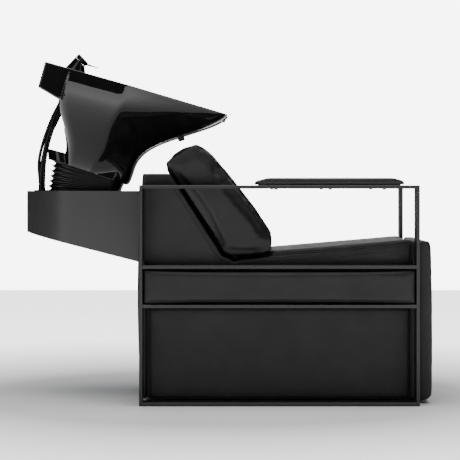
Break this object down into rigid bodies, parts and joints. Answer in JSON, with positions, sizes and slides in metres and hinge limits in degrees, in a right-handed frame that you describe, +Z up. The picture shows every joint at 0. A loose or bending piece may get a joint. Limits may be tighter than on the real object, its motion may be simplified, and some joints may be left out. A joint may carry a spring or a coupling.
{
  "type": "shampoo backwash unit",
  "caption": "Hair-salon backwash unit: leather shampoo seat between flat-bar side frames, with a tilting black ceramic basin on a steel bracket behind the backrest.",
  "frame": {"origin": "on the floor, in the middle of the overall length and width", "axes": "+X from the basin towards the seat's front, +Y towards the sitting person's left, +Z up"},
  "size_m": [1.2351, 0.62, 1.0613],
  "materials": {
    "frame_steel": "satin black powder coat",
    "bracket_steel": "satin black powder coat",
    "leather": "black upholstery leather, fine grain",
    "plywood": "black-stained birch plywood",
    "zinc_fasteners": "zinc plated",
    "hinge_steel": "black",
    "black_rubber": "glossy",
    "glazed_basin": "gloss black glaze",
    "silicone": "satin",
    "black_plastic": "matte",
    "chrome_drain": "polished",
    "black_chrome": "gloss black",
    "hose_black": "glossy",
    "copper": "drawn"
  },
  "bodies": {
    "seat_unit": {"armrest_boards": "plywood", "armrest_screws": "zinc_fasteners", "back_board": "plywood", "backrest_cushion": "leather", "band_boards": "plywood", "bellows": "black_rubber", "bracket_bolts": "zinc_fasteners", "bracket_bottom_cover": "bracket_steel", "bracket_flange": "bracket_steel", "bracket_nuts": "zinc_fasteners", "bracket_skirt": "bracket_steel", "bracket_top_plate": "bracket_steel", "carcass_back": "plywood", "carcass_base": "plywood", "carcass_front": "plywood", "carcass_sides": "plywood", "carcass_top_rail": "plywood", "cold_hose": "hose_black", "frame_battens": "plywood", "frame_bolts": "zinc_fasteners", "frame_nuts": "zinc_fasteners", "front_panel": "leather", "front_panel_board": "plywood", "hose_grommet": "black_rubber", "hot_hose": "hose_black", "left_armrest_pad": "leather", "left_band_cushion": "leather", "left_lower_side_panel": "leather", "left_side_frame": "frame_steel", "left_upper_side_panel": "leather", "rear_panel": "leather", "right_armrest_pad": "leather", "right_band_cushion": "leather", "right_lower_side_panel": "leather", "right_side_frame": "frame_steel", "right_upper_side_panel": "leather", "seat_board": "plywood", "seat_cushion": "leather", "shower_hose": "hose_black", "supply_pipes": "copper", "tilt_base": "hinge_steel", "tilt_pin": "zinc_fasteners", "tilt_pin_nuts": "zinc_fasteners", "top_panel": "leather", "waste_hose": "hose_black", "waste_pipe": "black_plastic"},
    "basin_body": {"basin": "glazed_basin", "neck_pad": "silicone", "tilt_grip": "black_plastic", "tilt_plate": "hinge_steel", "tilt_plate_bolts": "zinc_fasteners", "drain_flange": "chrome_drain", "drain_nut": "black_plastic", "mixer_body": "black_chrome", "mixer_nut": "black_plastic", "shower_holder": "black_chrome"},
    "strainer_body": {"strainer": "chrome_drain"},
    "mixer_cap_body": {"mixer_cap": "black_chrome"},
    "mixer_lever_body": {"mixer_lever": "black_chrome"},
    "hand_shower_body": {"hand_shower": "black_chrome"}
  },
  "joints": [
    {"name": "bowl_tilt", "type": "hinge", "parent": "seat_unit", "child": "basin_body", "pos_m": [-0.362, 0, 0.652], "axis": [0, 1, 0], "range_deg": [-18, 0], "deforming": ["bellows", "hot_hose", "cold_hose", "shower_hose", "waste_hose"]},
    {"name": "strainer_lift", "type": "slide", "parent": "basin_body", "child": "strainer_body", "axis": [0.2706, 0, 0.9627], "range_m": [0, 0.06]},
    {"name": "mixer_turn", "type": "hinge", "parent": "basin_body", "child": "mixer_cap_body", "pos_m": [-0.48534, 0, 1.0066], "axis": [0.7314, 0, 0.682], "range_deg": [-45, 45]},
    {"name": "lever_lift", "type": "hinge", "parent": "mixer_cap_body", "child": "mixer_lever_body", "pos_m": [-0.4414, 0, 1.0306], "axis": [0, -1, 0], "range_deg": [0, 25]},
    {"name": "shower_lift", "type": "slide", "parent": "basin_body", "child": "hand_shower_body", "axis": [0.2706, 0, 0.9627], "range_m": [0, 0.12], "deforming": ["shower_hose"]}
  ]
}
